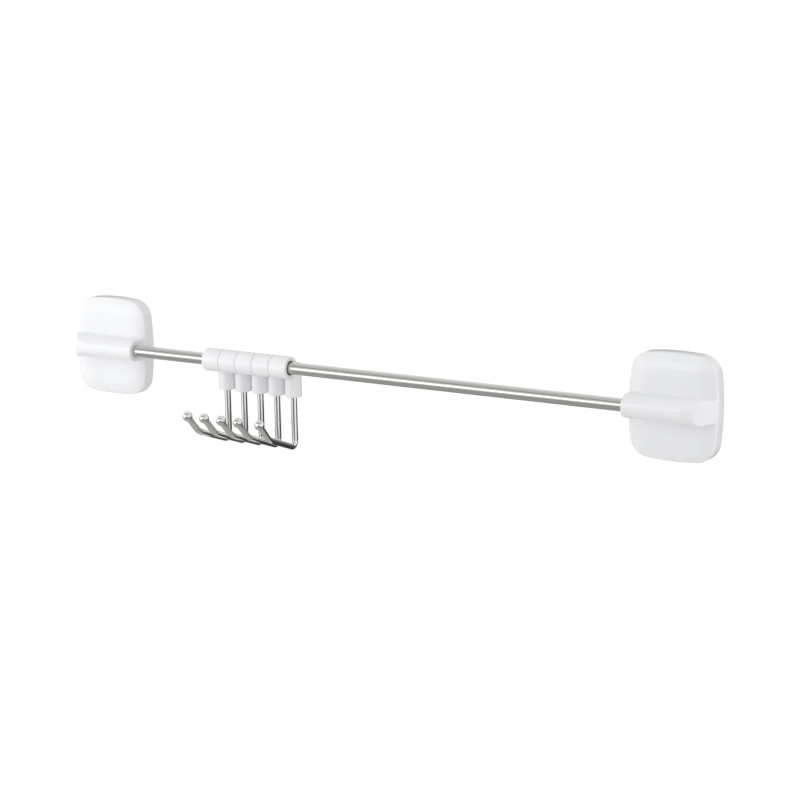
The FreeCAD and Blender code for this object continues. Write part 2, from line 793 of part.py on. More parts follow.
def build_wire(number):
    """The round wire hook: down out of the drop, forward, then up to the ball."""
    body = new_body(f"hook_{number}_wire")
    corners, bends = wire_route()
    path = new_sketch(body, "wire_path", "YZ_Plane")
    start = corners[0]
    lengths = []
    for before, corner, after, radius in zip(corners, corners[1:], corners[2:], bends):
        inward = (before - corner).normalize()
        outward = (after - corner).normalize()
        half = inward.getAngle(outward) / 2
        reach = radius / math.tan(half)
        entry, leave = corner + inward * reach, corner + outward * reach
        centre = corner + (inward + outward).normalize() * (radius / math.sin(half))
        middle = centre + (corner - centre).normalize() * radius
        lengths.append((Part.LineSegment(start, entry), Part.Arc(entry, middle, leave)))
        start = leave
    tip = corners[-1] - (corners[-1] - corners[-2]).normalize() * value("ball_radius - ball_seat")
    lines = []
    for line, arc in lengths:
        lines += [path.addGeometry(line), path.addGeometry(arc)]
    lines.append(path.addGeometry(Part.LineSegment(start, tip)))
    tie_wire(path, lines)
    ring = new_sketch(body, "wire_section", "XY_Plane", "-wire_top")
    add_circle(ring, "wire_radius")
    wire = feature(body, "AdditivePipe", "wire", ring)
    wire.Spine = (path, [f"Edge{number}" for number in range(1, len(lines) + 1)])
    settle(body, wire)
    swing = "last_hook_turn" if number == HOOKS else "0"
    bind(body, "Placement", hook_placement(number, turn=swing))


def tie_wire(path, lines):
    """Tie the wire's route to its sizes: tangent joints, bend radii and the straight lengths' corners."""
    down, corner, run, curve, rise = lines
    ends = {arc: arc_ends(path, arc, path.getPoint(line, 2)) for arc, line in ((corner, down), (curve, run))}
    for first, end, second, begin in (
        (down, 2, corner, ends[corner][0]),
        (corner, ends[corner][1], run, 1),
        (run, 2, curve, ends[curve][0]),
        (curve, ends[curve][1], rise, 1),
    ):
        path.addConstraint(Sketcher.Constraint("Tangent", first, end, second, begin))
    for arc, name in ((corner, "corner_bend"), (curve, "tip_bend")):
        index = path.addConstraint(Sketcher.Constraint("Radius", arc, value(name)))
        path.setExpression(f"Constraints[{index}]", formula(name))
    pin(path, down, 1, "0", "-wire_top")
    path.addConstraint(Sketcher.Constraint("Vertical", down))
    # The first corner is where the run's line meets the upright, the second where it meets the tip's line.
    for across, up, first, second in (
        ("0", "-corner_down", down, run),
        ("-run_reach", "run_rise - corner_down", run, rise),
    ):
        spot = path.addGeometry(Part.Point(V(value(across), value(up), 0)))
        pin(path, spot, 1, across, up)
        if first != down:
            path.addConstraint(Sketcher.Constraint("PointOnObject", spot, 1, first))
        path.addConstraint(Sketcher.Constraint("PointOnObject", spot, 1, second))
        path.setConstruction(spot, True)
    tip_length = "sqrt(tip_reach^2 + tip_rise^2)"
    share = f"(1 - (ball_radius - ball_seat) / {tip_length})"
    pin(
        path,
        rise,
        2,
        f"-(run_reach + tip_reach * {share})",
        f"run_rise + tip_rise * {share} - corner_down",
    )


def build_ball(number):
    """The turned ball on the wire's tip, with a blind bore that seats the wire."""
    body = new_body(f"hook_{number}_ball")
    bore = "wire_radius + wire_fit"
    mouth = f"sqrt(ball_radius^2 - ({bore})^2)"
    floor = "(ball_radius - ball_seat - wire_fit)"
    profile = [
        (CENTRE_LINE, "ball_radius"),
        (CENTRE_LINE, f"-{floor}"),
        (bore, f"-{floor}"),
        (bore, f"-{mouth}"),
    ]
    bends = {3: ("ball_radius", CENTRE_LINE)}
    turn(body, "ball", "YZ_Plane", profile, "V_Axis", bends)
    swing = "last_hook_turn" if number == HOOKS else "0"
    bind(
        body,
        "Placement",
        hook_placement(
            number,
            back="-(run_reach + tip_reach)",
            down="run_rise + tip_rise - corner_down",
            turn=swing,
            lean="atan(tip_reach / tip_rise)",
        ),
    )


def build_hook(number):
    """One hook: bush, sleeve, wire and ball."""
    build_bush(number)
    build_sleeve(number)
    build_wire(number)
    build_ball(number)


def node_names():
    """The name of every node, in the order they are written."""
    ends = ["cover", "back_plate", "adhesive_pad", "plate_screws", "lock_screw", "tube_plug"]
    names = ["rail_tube"] + [f"{side}_{piece}" for side in ("left", "right") for piece in ends]
    pieces = ("bush", "sleeve", "wire", "ball")
    return names + [f"hook_{number}_{piece}" for number in range(1, HOOKS + 1) for piece in pieces]


def write_parts():
    """Check every object and write each node's shape to its own file."""
    DOC.recompute()
    for item in DOC.Objects:
        if {"Invalid", "Error"} & set(item.State):
            raise RuntimeError(f"{item.Label} has failed: {item.State}")
    os.makedirs("parts", exist_ok=True)
    for name in node_names():
        shape = DOC.getObjectsByLabel(name)[0].Shape
        if shape.isNull() or not shape.isValid() or not shape.Solids:
            raise RuntimeError(f"{name} has no valid solid")
        shape.exportStep(f"parts/{name}.step")


build_tube()
for side, place in (("left", -1), ("right", 1)):
    build_end(side, place)
for hook in range(1, HOOKS + 1):
    build_hook(hook)
write_parts()
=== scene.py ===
"""Looks of a kitchen utensil rail: a satin steel tube, two glossy white wall pads and five hooks.

Lengths are millimetres until a mesh is made. +X runs along the rail to the right, +Y into the wall and
+Z up, and the origin is on the tube's axis, half-way along it.
"""

import json
import logging
import math
from dataclasses import dataclass, field
from enum import Enum
from typing import Any, Callable

import bpy
import numpy as np
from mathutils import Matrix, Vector


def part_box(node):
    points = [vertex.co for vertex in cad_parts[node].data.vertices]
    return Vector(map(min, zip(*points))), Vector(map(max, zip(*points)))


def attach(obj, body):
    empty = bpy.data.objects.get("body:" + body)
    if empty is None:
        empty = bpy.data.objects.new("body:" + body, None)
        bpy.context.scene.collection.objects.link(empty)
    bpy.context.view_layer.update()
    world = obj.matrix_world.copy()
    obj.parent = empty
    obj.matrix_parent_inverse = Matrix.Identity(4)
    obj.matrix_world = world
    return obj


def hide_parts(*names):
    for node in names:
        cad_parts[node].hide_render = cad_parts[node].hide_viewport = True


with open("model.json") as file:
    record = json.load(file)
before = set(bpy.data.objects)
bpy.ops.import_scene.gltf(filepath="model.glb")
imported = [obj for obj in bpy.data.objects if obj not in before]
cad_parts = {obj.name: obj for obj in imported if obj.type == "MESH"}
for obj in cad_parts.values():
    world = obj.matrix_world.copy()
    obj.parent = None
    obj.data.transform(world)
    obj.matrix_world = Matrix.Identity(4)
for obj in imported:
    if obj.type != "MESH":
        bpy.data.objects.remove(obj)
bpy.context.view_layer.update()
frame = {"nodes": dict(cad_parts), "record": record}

LOG = logging.getLogger("utensil_rail")
MM = 0.001
CREASE = math.radians(38.0)
HOOK_COUNT = 5
TURNED_HOOK = 5
TURNED_BY = 4.3


class Side(Enum):
    """Which end of the rail a piece is at; the value is the sign of X there."""

    LEFT = -1
    RIGHT = 1


class Rows(Enum):
    """How the rows of a ring grid end: closed by a pole at each end, or joined first to last."""

    POLES = "poles"
    LOOP = "loop"


# Mesh making


@dataclass
class Skin:
    """A closed surface made of rings of points.

    Attributes:
        points: Vertex places, one row each, in millimetres.
        faces: Vertex numbers, four a face; a triangle repeats its last one.
    """

    points: np.ndarray
    faces: np.ndarray

    @staticmethod
    def from_rings(grid: np.ndarray, rows: Rows = Rows.POLES) -> "Skin":
        """Join rings of points into a closed surface.

        Each face takes point (r, c), its neighbour round the ring, and the same two of the next ring. A pole
        is the mean of its ring. A surface that comes out inside out has its faces' corners reversed.

        Args:
            grid: Places, as ring by point by three.
            rows: How the first and the last ring are closed.

        Returns:
            The surface, with its faces pointing outwards.
        """
        rings, around = grid.shape[:2]
        last = rings if rows is Rows.LOOP else rings - 1
        ring, point = np.meshgrid(np.arange(last), np.arange(around), indexing="ij")
        after, beside = (ring + 1) % rings, (point + 1) % around
        near, far = ring * around, after * around
        quads = np.stack([near + point, near + beside, far + beside, far + point], axis=-1).reshape(-1, 4)
        points = grid.reshape(-1, 3)
        if rows is Rows.POLES:
            poles = np.stack([grid[0].mean(axis=0), grid[-1].mean(axis=0)])
            first, final = np.full(around, len(points)), np.full(around, len(points) + 1)
            step, following = np.arange(around), (np.arange(around) + 1) % around
            end = (rings - 1) * around
            low = np.stack([following, step, first, first], axis=-1)
            high = np.stack([end + step, end + following, final, final], axis=-1)
            points = np.concatenate([points, poles])
            quads = np.concatenate([quads, low, high])
        skin = Skin(points, quads)
        if skin.volume() < 0:
            skin.faces = skin.faces[:, [3, 2, 1, 0]]
            thin = skin.faces[:, 0] == skin.faces[:, 1]
            skin.faces[thin] = skin.faces[thin][:, [1, 2, 3, 0]]
        return skin

    def volume(self) -> float:
        """Signed volume: a sixth of the sum of each triangle's triple product."""
        a, b, c, d = (self.points[self.faces[:, k]] for k in range(4))
        one = np.einsum("ij,ij->i", a, np.cross(b, c))
        two = np.einsum("ij,ij->i", a, np.cross(c, d))
        return float((one + two).sum() / 6)

    def moved(self, place: Callable[[np.ndarray], np.ndarray]) -> "Skin":
        """The same surface with its points carried by a rigid motion."""
        return Skin(place(self.points), self.faces)


def make_piece(
    name: str, skins: list[Skin], material: bpy.types.Material, body: str
) -> bpy.types.Object:
    """Put closed surfaces into one object that rides on a body.

    Args:
        name: Name of the piece.
        skins: Surfaces, in millimetres.
        material: Finish of the whole piece.
        body: Moving body that carries it.

    Returns:
        The new object, at the origin, with its place in its mesh.
    """
    offsets = np.cumsum([0] + [len(skin.points) for skin in skins[:-1]])
    points = np.concatenate([skin.points for skin in skins]) * MM
    faces = np.concatenate([skin.faces + offset for skin, offset in zip(skins, offsets)])
    sides = np.where(faces[:, 2] == faces[:, 3], 3, 4)
    starts = np.concatenate([[0], np.cumsum(sides)[:-1]])
    corners = faces[np.arange(4)[None, :] < sides[:, None]]
    mesh = bpy.data.meshes.new(name)
    mesh.vertices.add(len(points))
    mesh.vertices.foreach_set("co", points.astype(np.float32).ravel())
    mesh.loops.add(len(corners))
    mesh.loops.foreach_set("vertex_index", corners.astype(np.int32))
    mesh.polygons.add(len(faces))
    mesh.polygons.foreach_set("loop_start", starts.astype(np.int32))
    mesh.polygons.foreach_set("use_smooth", np.ones(len(faces), bool))
    mesh.update(calc_edges=True)
    mesh.validate()
    mesh.set_sharp_from_angle(angle=CREASE)
    mesh.materials.append(material)
    piece = bpy.data.objects.new(name, mesh)
    bpy.context.scene.collection.objects.link(piece)
    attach(piece, body)
    LOG.info("%s: %d points, %d faces", name, len(points), len(faces))
    return piece


def arc(centre: tuple[float, float], radius: float, start: float, finish: float, steps: int) -> np.ndarray:
    """Points on a circle: centre plus radius times (cos, sin) of angles from start to finish, in degrees."""
    turn = np.radians(np.linspace(start, finish, steps + 1))
    return np.stack([centre[0] + radius * np.cos(turn), centre[1] + radius * np.sin(turn)], axis=-1)


def turned(profile: np.ndarray, steps: int, rows: Rows = Rows.POLES) -> Skin:
    """Turn a profile of (along, out) points about X: each becomes (along, out cos t, out sin t).

    Args:
        profile: Points along the axis and out from it.
        steps: Points round each ring.
        rows: How the profile's ends are closed.

    Returns:
        The turned surface.
    """
    turn = np.linspace(0, 2 * np.pi, steps, endpoint=False)
    along, out = profile[:, 0, None], profile[:, 1, None]
    rings = np.stack([along + 0 * turn, out * np.cos(turn), out * np.sin(turn)], axis=-1)
    return Skin.from_rings(rings, rows)


def about_x(points: np.ndarray, degrees: float) -> np.ndarray:
    """Turn points about the X axis: y' = y cos - z sin, z' = y sin + z cos."""
    c, s = math.cos(math.radians(degrees)), math.sin(math.radians(degrees))
    return points @ np.array([[1, 0, 0], [0, c, s], [0, -s, c]])


def about_z(points: np.ndarray, degrees: float) -> np.ndarray:
    """Turn points about the Z axis: x' = x cos - y sin, y' = x sin + y cos."""
    c, s = math.cos(math.radians(degrees)), math.sin(math.radians(degrees))
    return points @ np.array([[c, s, 0], [-s, c, 0], [0, 0, 1]])


def middle(node: str) -> np.ndarray:
    """Middle of a CAD node's box, in millimetres."""
    low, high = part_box(node)
    return np.array((low + high) / 2) / MM


def reach(node: str) -> tuple[np.ndarray, np.ndarray]:
    """Lowest and highest corner of a CAD node's box, in millimetres."""
    low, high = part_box(node)
    return np.array(low) / MM, np.array(high) / MM


# Finishes


def linear(colour: str) -> tuple[float, float, float, float]:
    """Turn an sRGB hex colour to linear values.

    Args:
        colour: Six hex digits after a hash.

    Returns:
        Linear red, green and blue, and an alpha of one.
    """
    values = [int(colour[k : k + 2], 16) / 255 for k in (1, 3, 5)]
    flat = [v / 12.92 if v <= 0.04045 else ((v + 0.055) / 1.055) ** 2.4 for v in values]
    return flat[0], flat[1], flat[2], 1.0


def add_node(
    tree: bpy.types.NodeTree,
    kind: str,
    settings: dict[str, Any] | None = None,
    values: dict[Any, Any] | None = None,
    links: dict[Any, bpy.types.NodeSocket] | None = None,
) -> bpy.types.Node:
    """Add a node with its settings, its plain input values and its links.

    Args:
        tree: Node tree that gets the node.
        kind: Blender's name of the node type.
        settings: Attributes of the node itself.
        values: Input names or numbers and the values they hold.
        links: Input names or numbers and the sockets that feed them.

    Returns:
        The new node.
    """
    node = tree.nodes.new(kind)
    for key, setting in (settings or {}).items():
        setattr(node, key, setting)
    for key, number in (values or {}).items():
        node.inputs[key].default_value = number
    for key, socket in (links or {}).items():
        tree.links.new(socket, node.inputs[key])
    return node


def new_material(name: str) -> tuple[bpy.types.Material, bpy.types.NodeTree, bpy.types.Node]:
    """A new material with a Principled shader on its output."""
    material = bpy.data.materials.new(name)
    material.use_nodes = True
    tree = material.node_tree
    tree.nodes.clear()
    shader = add_node(tree, "ShaderNodeBsdfPrincipled")
    add_node(tree, "ShaderNodeOutputMaterial", links={"Surface": shader.outputs["BSDF"]})
    return material, tree, shader


def per_mm(period: float) -> float:
    """Noise scale, in features a metre, for a feature size in millimetres."""
    return 1.0 / (period * MM)


@dataclass(frozen=True)
class Moulding:
    """An injection-moulded plastic, smooth from its tool, with the faint waviness of shrinkage.

    Attributes:
        name: Name of the finish.
        colour: sRGB colour of the plastic.
        shade: sRGB colour where the melt flowed last, a touch off the first.
        roughness: How dull the skin is.
        spread: How much the dullness wanders.
        ripple: Feature size of the surface's waviness, in millimetres.
        depth: Height of the waviness, in millimetres.
        grain: Feature size of the fine skin texture, in millimetres.
        grain_depth: Height of the fine skin texture, in millimetres.
        index: Refractive index.
    """

    name: str
    colour: str
    shade: str
    roughness: float
    spread: float = 0.04
    ripple: float = 9.0
    depth: float = 0.02
    grain: float = 0.45
    grain_depth: float = 0.002
    index: float = 1.53

    def build(self) -> bpy.types.Material:
        """Make the material: flow shading, wandering gloss, and two scales of bump.

        Returns:
            The material.
        """
        material, tree, shader = new_material(self.name)
        place = add_node(tree, "ShaderNodeTexCoord").outputs["Object"]
        flow = add_node(
            tree,
            "ShaderNodeTexNoise",
            values={"Scale": per_mm(self.ripple * 3), "Detail": 3.0, "Roughness": 0.5},
            links={"Vector": place},
        )
        tint = add_node(
            tree,
            "ShaderNodeMix",
            settings={"data_type": "RGBA"},
            values={6: linear(self.colour), 7: linear(self.shade)},
            links={0: flow.outputs["Fac"]},
        )
        gloss = add_node(
            tree,
            "ShaderNodeMapRange",
            values={
                "From Min": 0.3,
                "From Max": 0.7,
                "To Min": self.roughness - self.spread,
                "To Max": self.roughness + self.spread,
            },
            links={"Value": flow.outputs["Fac"]},
        )
        wave = add_node(
            tree,
            "ShaderNodeTexNoise",
            values={"Scale": per_mm(self.ripple), "Detail": 1.0},
            links={"Vector": place},
        )
        skin = add_node(
            tree,
            "ShaderNodeTexNoise",
            values={"Scale": per_mm(self.grain), "Detail": 2.0},
            links={"Vector": place},
        )
        coarse = add_node(
            tree,
            "ShaderNodeBump",
            values={"Distance": self.depth * MM, "Strength": 1.0},
            links={"Height": wave.outputs["Fac"]},
        )
        fine = add_node(
            tree,
            "ShaderNodeBump",
            values={"Distance": self.grain_depth * MM, "Strength": 1.0},
            links={"Height": skin.outputs["Fac"], "Normal": coarse.outputs["Normal"]},
        )
        shader.inputs["IOR"].default_value = self.index
        tree.links.new(tint.outputs[2], shader.inputs["Base Color"])
        tree.links.new(gloss.outputs["Result"], shader.inputs["Roughness"])
        tree.links.new(fine.outputs["Normal"], shader.inputs["Normal"])
        return material


@dataclass(frozen=True)
class Metal:
    """A bare or plated metal, with the fine lines that its polishing left.

    Attributes:
        name: Name of the finish.
        colour: sRGB colour of the metal.
        shade: sRGB colour in the polishing lines.
        roughness: How dull the metal is between the lines.
        spread: How much duller the lines are.
        line: Spacing of the polishing lines, in millimetres.
        stretch: How many times longer than wide a line is along X.
        depth: Depth of a line, in millimetres.
    """

    name: str
    colour: str
    shade: str
    roughness: float
    spread: float
    line: float
    stretch: float
    depth: float

    def build(self) -> bpy.types.Material:
        """Make the material: stretched noise gives the lines their tone, dullness and depth.

        Returns:
            The material.
        """
        material, tree, shader = new_material(self.name)
        place = add_node(tree, "ShaderNodeTexCoord").outputs["Object"]
        drawn = add_node(
            tree,
            "ShaderNodeMapping",
            values={"Scale": (1.0 / self.stretch, 1.0, 1.0)},
            links={"Vector": place},
        )
        lines = add_node(
            tree,
            "ShaderNodeTexNoise",
            values={"Scale": per_mm(self.line), "Detail": 3.0, "Roughness": 0.6},
            links={"Vector": drawn.outputs["Vector"]},
        )
        clouds = add_node(
            tree,
            "ShaderNodeTexNoise",
            values={"Scale": per_mm(self.line * 30), "Detail": 2.0},
            links={"Vector": place},
        )
        tint = add_node(
            tree,
            "ShaderNodeMix",
            settings={"data_type": "RGBA"},
            values={6: linear(self.colour), 7: linear(self.shade)},
            links={0: lines.outputs["Fac"]},
        )
        both = add_node(
            tree,
            "ShaderNodeMath",
            settings={"operation": "MULTIPLY"},
            links={0: lines.outputs["Fac"], 1: clouds.outputs["Fac"]},
        )
        dull = add_node(
            tree,
            "ShaderNodeMapRange",
            values={
                "From Min": 0.1,
                "From Max": 0.45,
                "To Min": self.roughness,
                "To Max": self.roughness + self.spread,
            },
            links={"Value": both.outputs["Value"]},
        )
        bump = add_node(
            tree,
            "ShaderNodeBump",
            values={"Distance": self.depth * MM, "Strength": 1.0},
            links={"Height": lines.outputs["Fac"]},
        )
        shader.inputs["Metallic"].default_value = 1.0
        tree.links.new(tint.outputs[2], shader.inputs["Base Color"])
        tree.links.new(dull.outputs["Result"], shader.inputs["Roughness"])
        tree.links.new(bump.outputs["Normal"], shader.inputs["Normal"])
        return material


# Gloss ABS from a polished tool: a clean white with soft, slightly wavy highlights.
WHITE_ABS = Moulding(
    "white_abs_gloss", "#F3F4F6", "#F1F2F4", roughness=0.235, spread=0.03, grain=1.2, grain_depth=0.0015
)
# ABS from a blasted tool: the same white, dull and finely grained.
PLATE_ABS = Moulding(
    "plate_abs_matte", "#E9EAEB", "#E2E3E5",
    roughness=0.55, spread=0.05, ripple=12.0, depth=0.02, grain=0.7, grain_depth=0.02,
)
# Soft adhesive gel: pale, a little cloudy, and damp-looking.
GEL = Moulding(
    "adhesive_gel", "#DDE1E2", "#CBD1D3",
    roughness=0.36, spread=0.07, ripple=4.0, depth=0.06, grain=0.9, grain_depth=0.01, index=1.42,
)
# Acetal for the bushes, waxy and close-grained. Its dark grey is partly the bush's own tone and partly
# painted shade, standing in for the shadow in the gap between the sleeve's mouth and the tube.
ACETAL_MOUTH_SHADE = Moulding(
    "bush_acetal_mouth_shade", "#3A3B3D", "#2F3032",
    roughness=0.42, spread=0.05, ripple=4.0, depth=0.01, grain=0.4, grain_depth=0.004, index=1.48,
)
# Nylon, for the plug hidden in the tube.
NYLON = Moulding(
    "plug_nylon", "#5A5A5C", "#4C4C4E",
    roughness=0.5, spread=0.05, ripple=4.0, depth=0.01, grain=0.4, grain_depth=0.004, index=1.53,
)
# Stainless steel tube, satin-polished along its length; the lines are drawn coarser than real so they show.
SATIN_STEEL = Metal(
    "satin_stainless_tube", "#D9D7D4", "#CCCAC6",
    roughness=0.2, spread=0.06, line=0.5, stretch=60.0, depth=0.003,
)
# Bright chrome plate over bent steel wire: almost a mirror, with a faint haze from buffing.
CHROME = Metal(
    "bright_chrome_plate", "#EDEBE8", "#E7E5E2",
    roughness=0.05, spread=0.03, line=2.0, stretch=1.0, depth=0.0002,
)
# Zinc plate on the screws: bluish grey and dull.
ZINC = Metal(
    "zinc_plate", "#B9BCC2", "#A7AAAF",
    roughness=0.34, spread=0.1, line=0.5, stretch=1.0, depth=0.004,
)


# The wall pads


@dataclass
class WallPad:
    """A white pad: its crowned shell and the socket moulded across it.

    The sizes are those of the moulding, in millimetres; depths are behind the tube's axis.
    """

    side: Side
    material: bpy.types.Material
    width: float = 73.5
    height: float = 84.0
    corner: float = 16.0
    side_bow: float = 230.0
    end_bow: float = 200.0
    face: float = 8.2
    depth: float = 14.6
    crown_width: float = 14.0
    crown_bow: float = 33.0
    edge_round: float = 2.0
    back_round: float = 0.4
    shell_wall: float = 2.2
    plate_thick: float = 2.0
    socket_radius: float = 9.1
    socket_setback: float = 2.15
    socket_round: float = 0.9
    root_round: float = 0.7
    root_sink: float = 0.1
    bore_radius: float = 5.06
    bore_break: float = 0.3
    bore_shown: float = 6.0
    ramp_start: float = 23.2
    ramp_slope: float = 1.55
    ramp_bend: float = 1.8
    ramp_end: float = 36.3
    ramp_edge: float = 1.6
    swell: float = 0.8
    swell_middle: float = 27.5
    swell_reach: float = 4.5
    node: str = field(init=False)
    base_sink: float = 0.4
    root_reach: float = 4.0
    ramp_lead: float = 8.0
    ramp_fade: float = 4.0
    side_steps: int = 36
    corner_steps: int = 28

    def __post_init__(self) -> None:
        """Name the node that this pad stands for."""
        self.node = f"{self.side.name.lower()}_cover"

    def outline(self) -> tuple[np.ndarray, np.ndarray, np.ndarray]:
        """Arcs of the outline: for each sample, its arc's centre, radius and outward direction.

        The outline is four bowed sides and four corners, all tangent. A corner's centre is where the circles
        of radius (side_bow - corner) and (end_bow - corner) about the two bows' centres cross.

        Returns:
            Centres, radii and directions of all samples.
        """
        side_at, end_at = self.width / 2 - self.side_bow, self.height / 2 - self.end_bow
        near, far = self.side_bow - self.corner, self.end_bow - self.corner
        gap = math.hypot(side_at, end_at)
        along = (near**2 - far**2 + gap**2) / (2 * gap)
        off = math.sqrt(near**2 - along**2)
        unit = np.array([-side_at, end_at]) / gap
        normal = np.array([-unit[1], unit[0]])
        corner = np.array([side_at, 0.0]) + along * unit + off * normal
        if corner.min() < 0:
            corner = np.array([side_at, 0.0]) + along * unit - off * normal
        side_turn = math.atan2(corner[1], corner[0] - side_at)
        end_turn = math.atan2(corner[1] - end_at, corner[0])
        centres, radii, turns = [], [], []
        for quarter in range(4):
            level = quarter % 2 == 0
            flip = 1.0 if quarter < 2 else -1.0
            bow_at = np.array([side_at, 0.0]) * flip if level else np.array([0.0, end_at]) * flip
            bow = self.side_bow if level else self.end_bow
            half = side_turn if level else math.pi / 2 - end_turn
            start = quarter * math.pi / 2
            signs = [(1, 1), (-1, 1), (-1, -1), (1, -1)][quarter]
            turn = np.linspace(start - half, start + half, self.side_steps + 1)[:-1]
            following = start + math.pi / 2 - (math.pi / 2 - end_turn if level else side_turn)
            bend = np.linspace(start + half, following, self.corner_steps + 1)[:-1]
            for centre, radius, sweep in ((bow_at, bow, turn), (corner * signs, self.corner, bend)):
                centres.append(np.tile(centre, (len(sweep), 1)))
                radii.append(np.full(len(sweep), radius))
                turns.append(sweep)
        turn = np.concatenate(turns)
        return np.concatenate(centres), np.concatenate(radii), np.stack([np.cos(turn), np.sin(turn)], axis=-1)

    def edge_lean(self) -> float:
        """Angle where the crown meets the edge's round: arcsine of their centres' offset over their gap."""
        return math.asin((self.crown_width - self.edge_round) / (self.crown_bow - self.edge_round))

    def crown(self, inset: np.ndarray) -> np.ndarray:
        """Depth of the front at a distance in from the outline.

        Flat beyond crown_width; then a circle of radius crown_bow that leaves the flat tangent; then a circle
        of radius edge_round, tangent to both the first and the side wall.

        Args:
            inset: Distances in from the outline.

        Returns:
            Depths behind the tube's axis.
        """
        into = np.clip(self.crown_width - inset, 0, self.crown_bow)
        bowed = self.face + self.crown_bow - np.sqrt(self.crown_bow**2 - into**2)
        over = self.edge_round - np.clip(inset, 0, self.edge_round)
        rounded = self.edge_middle() - np.sqrt(np.clip(self.edge_round**2 - over**2, 0, None))
        return np.where(inset < self.edge_round * (1 - math.sin(self.edge_lean())), rounded, bowed)

    def edge_middle(self) -> float:
        """Depth of the middle of the edge's round, and so of the top of the side wall."""
        inner = self.crown_width - self.edge_round
        return self.face + self.crown_bow - math.sqrt((self.crown_bow - self.edge_round) ** 2 - inner**2)

    def shell(self) -> Skin:
        """The shell: the outline's arcs moved inwards by an inset, at a depth for each inset.

        A point is centre + (radius - inset) * direction. Inside the crown the innermost ring shrinks to the
        middle. The back is closed just in front of the back plate, which hides it.

        Returns:
            The closed surface, about the pad's own middle.
        """
        centres, radii, out = self.outline()
        lean = math.degrees(self.edge_lean())
        bow = arc((self.crown_width, self.face + self.crown_bow), self.crown_bow, 270, 270 - lean, 18)
        edge = arc((self.edge_round, self.edge_middle()), self.edge_round, 270 - lean, 180, 8)[1:]
        back = self.face + self.depth
        rim = arc((self.back_round, back - self.back_round), self.back_round, 180, 90, 4)
        closing = back - self.plate_thick - self.back_round
        inside = np.array([[self.shell_wall, back], [self.shell_wall, closing]])
        stations = np.concatenate([bow, edge, rim, inside])
        shares = np.array([0.25, 0.5, 0.75])
        flat = (centres + (radii - stations[0, 0])[:, None] * out)[None] * shares[:, None, None]
        ringed = centres[None] + (radii[None] - stations[:, :1])[..., None] * out[None]
        plan = np.concatenate([flat, ringed])
        deep = np.concatenate([np.full(len(shares), self.face), stations[:, 1]])
        grid = np.stack([plan[..., 0], np.broadcast_to(deep[:, None], plan.shape[:2]), plan[..., 1]], axis=-1)
        return Skin.from_rings(grid)

    def crest(self, along: np.ndarray) -> np.ndarray:
        """Depth of the rib's crest: a hyperbola that bends from level onto a straight ramp to the edge."""
        past = along - self.ramp_start
        return self.ramp_slope * (past + np.hypot(past, self.ramp_bend)) / 2 - self.socket_radius

    def rib(self, along: np.ndarray, turn: np.ndarray, inset: np.ndarray, base: float) -> np.ndarray:
        """Distance of the rib's skin from a line at a depth, for stations along it and angles about it.

        The section is half an ellipse on straight sides. With w and h for its half axes, d for its middle's
        distance from the line, and s and c for an angle's sine and cosine, a distance r on the ellipse solves
        (r s / w)^2 + ((r c - d) / h)^2 = 1, and beside it r = w / s. The ramp cuts it flat at the crest's
        depth, where r = (base - crest) / c. Near the ramp a soft minimum of the two rounds the edge between
        them: it lies under both by ramp_edge p (1 - p), where p goes from 0 to 1 across the edge.

        Args:
            along: Stations along the rib.
            turn: Angles about the line, from straight out of the face.
            inset: How far each station's section is drawn in by the mouth's round.
            base: Depth of the line.

        Returns:
            Distances, as station by angle.
        """
        s, c = np.abs(np.sin(turn))[None], np.cos(turn)[None]
        d = np.full((len(along), 1), base)
        h = (self.socket_radius - inset)[:, None]
        bulge = self.swell * np.exp(-(((along - self.swell_middle) / self.swell_reach) ** 2))
        w = (self.socket_radius + bulge - inset)[:, None]
        square, linear_part, plain = s**2 / w**2 + c**2 / h**2, -2 * d * c / h**2, d**2 / h**2 - 1
        inner = linear_part**2 - 4 * square * plain
        arched = (np.sqrt(np.clip(inner, 0, None)) - linear_part) / (2 * square)
        whole = np.where((inner >= 0) & (arched * c >= d), arched, w / np.maximum(s, 1e-6))
        cut = (base - self.crest(along) - inset)[:, None] / np.maximum(c, 1e-3)
        part = np.clip(0.5 + 0.5 * (cut - whole) / self.ramp_edge, 0, 1)
        fading = np.clip((along - self.ramp_start + self.ramp_lead) / self.ramp_fade, 0, 1)[:, None]
        return cut + (whole - cut) * part - fading * self.ramp_edge * part * (1 - part)

    def socket(self) -> Skin:
        """The socket: rings about a line under the face, from inside the bore, over the mouth, to the ramp.

        A concave quarter round spreads each ring where it meets the crowned face.

        Returns:
            The closed surface, about the pad's own middle.
        """
        mouth = self.socket_setback - self.width / 2
        entry = mouth + self.socket_round * (1 - np.cos(np.radians(np.linspace(0, 90, 9))))
        lead = self.ramp_start - self.ramp_lead
        level = np.linspace(mouth + self.socket_round, lead, 30)[1:]
        ramp = np.linspace(lead, self.ramp_end, 70)[1:]
        along = np.concatenate([entry, level, ramp])
        into = np.clip(self.socket_round - (along - mouth), 0, None)
        inset = self.socket_round - np.sqrt(self.socket_round**2 - into**2)
        base = self.edge_middle() + self.base_sink
        stations = [np.linspace(0, 40, 34), np.linspace(40, 85, 61)[1:], np.array([87.5, 90.0])]
        turn = np.radians(np.concatenate(stations))
        turn = np.concatenate([-turn[:0:-1], turn])
        out = self.rib(along, turn, inset, base)
        across, deep = out * np.sin(turn)[None], base - out * np.cos(turn)[None]
        foot = self.crown(self.width / 2 - np.abs(along))[:, None] + self.root_sink
        near = np.clip((deep - (foot - self.root_round)) / self.root_round, 0, 1)
        share = np.clip(np.abs(across) / self.root_reach, 0, 1)
        spread = self.root_round * (1 - np.sqrt(1 - near**2)) * share
        clear = np.clip((along - mouth) / self.socket_round, 0, 1)[:, None]
        across = across + np.sign(across) * spread * clear
        floor = np.linspace(across[:, -1], across[:, 0], 14)[1:-1].T
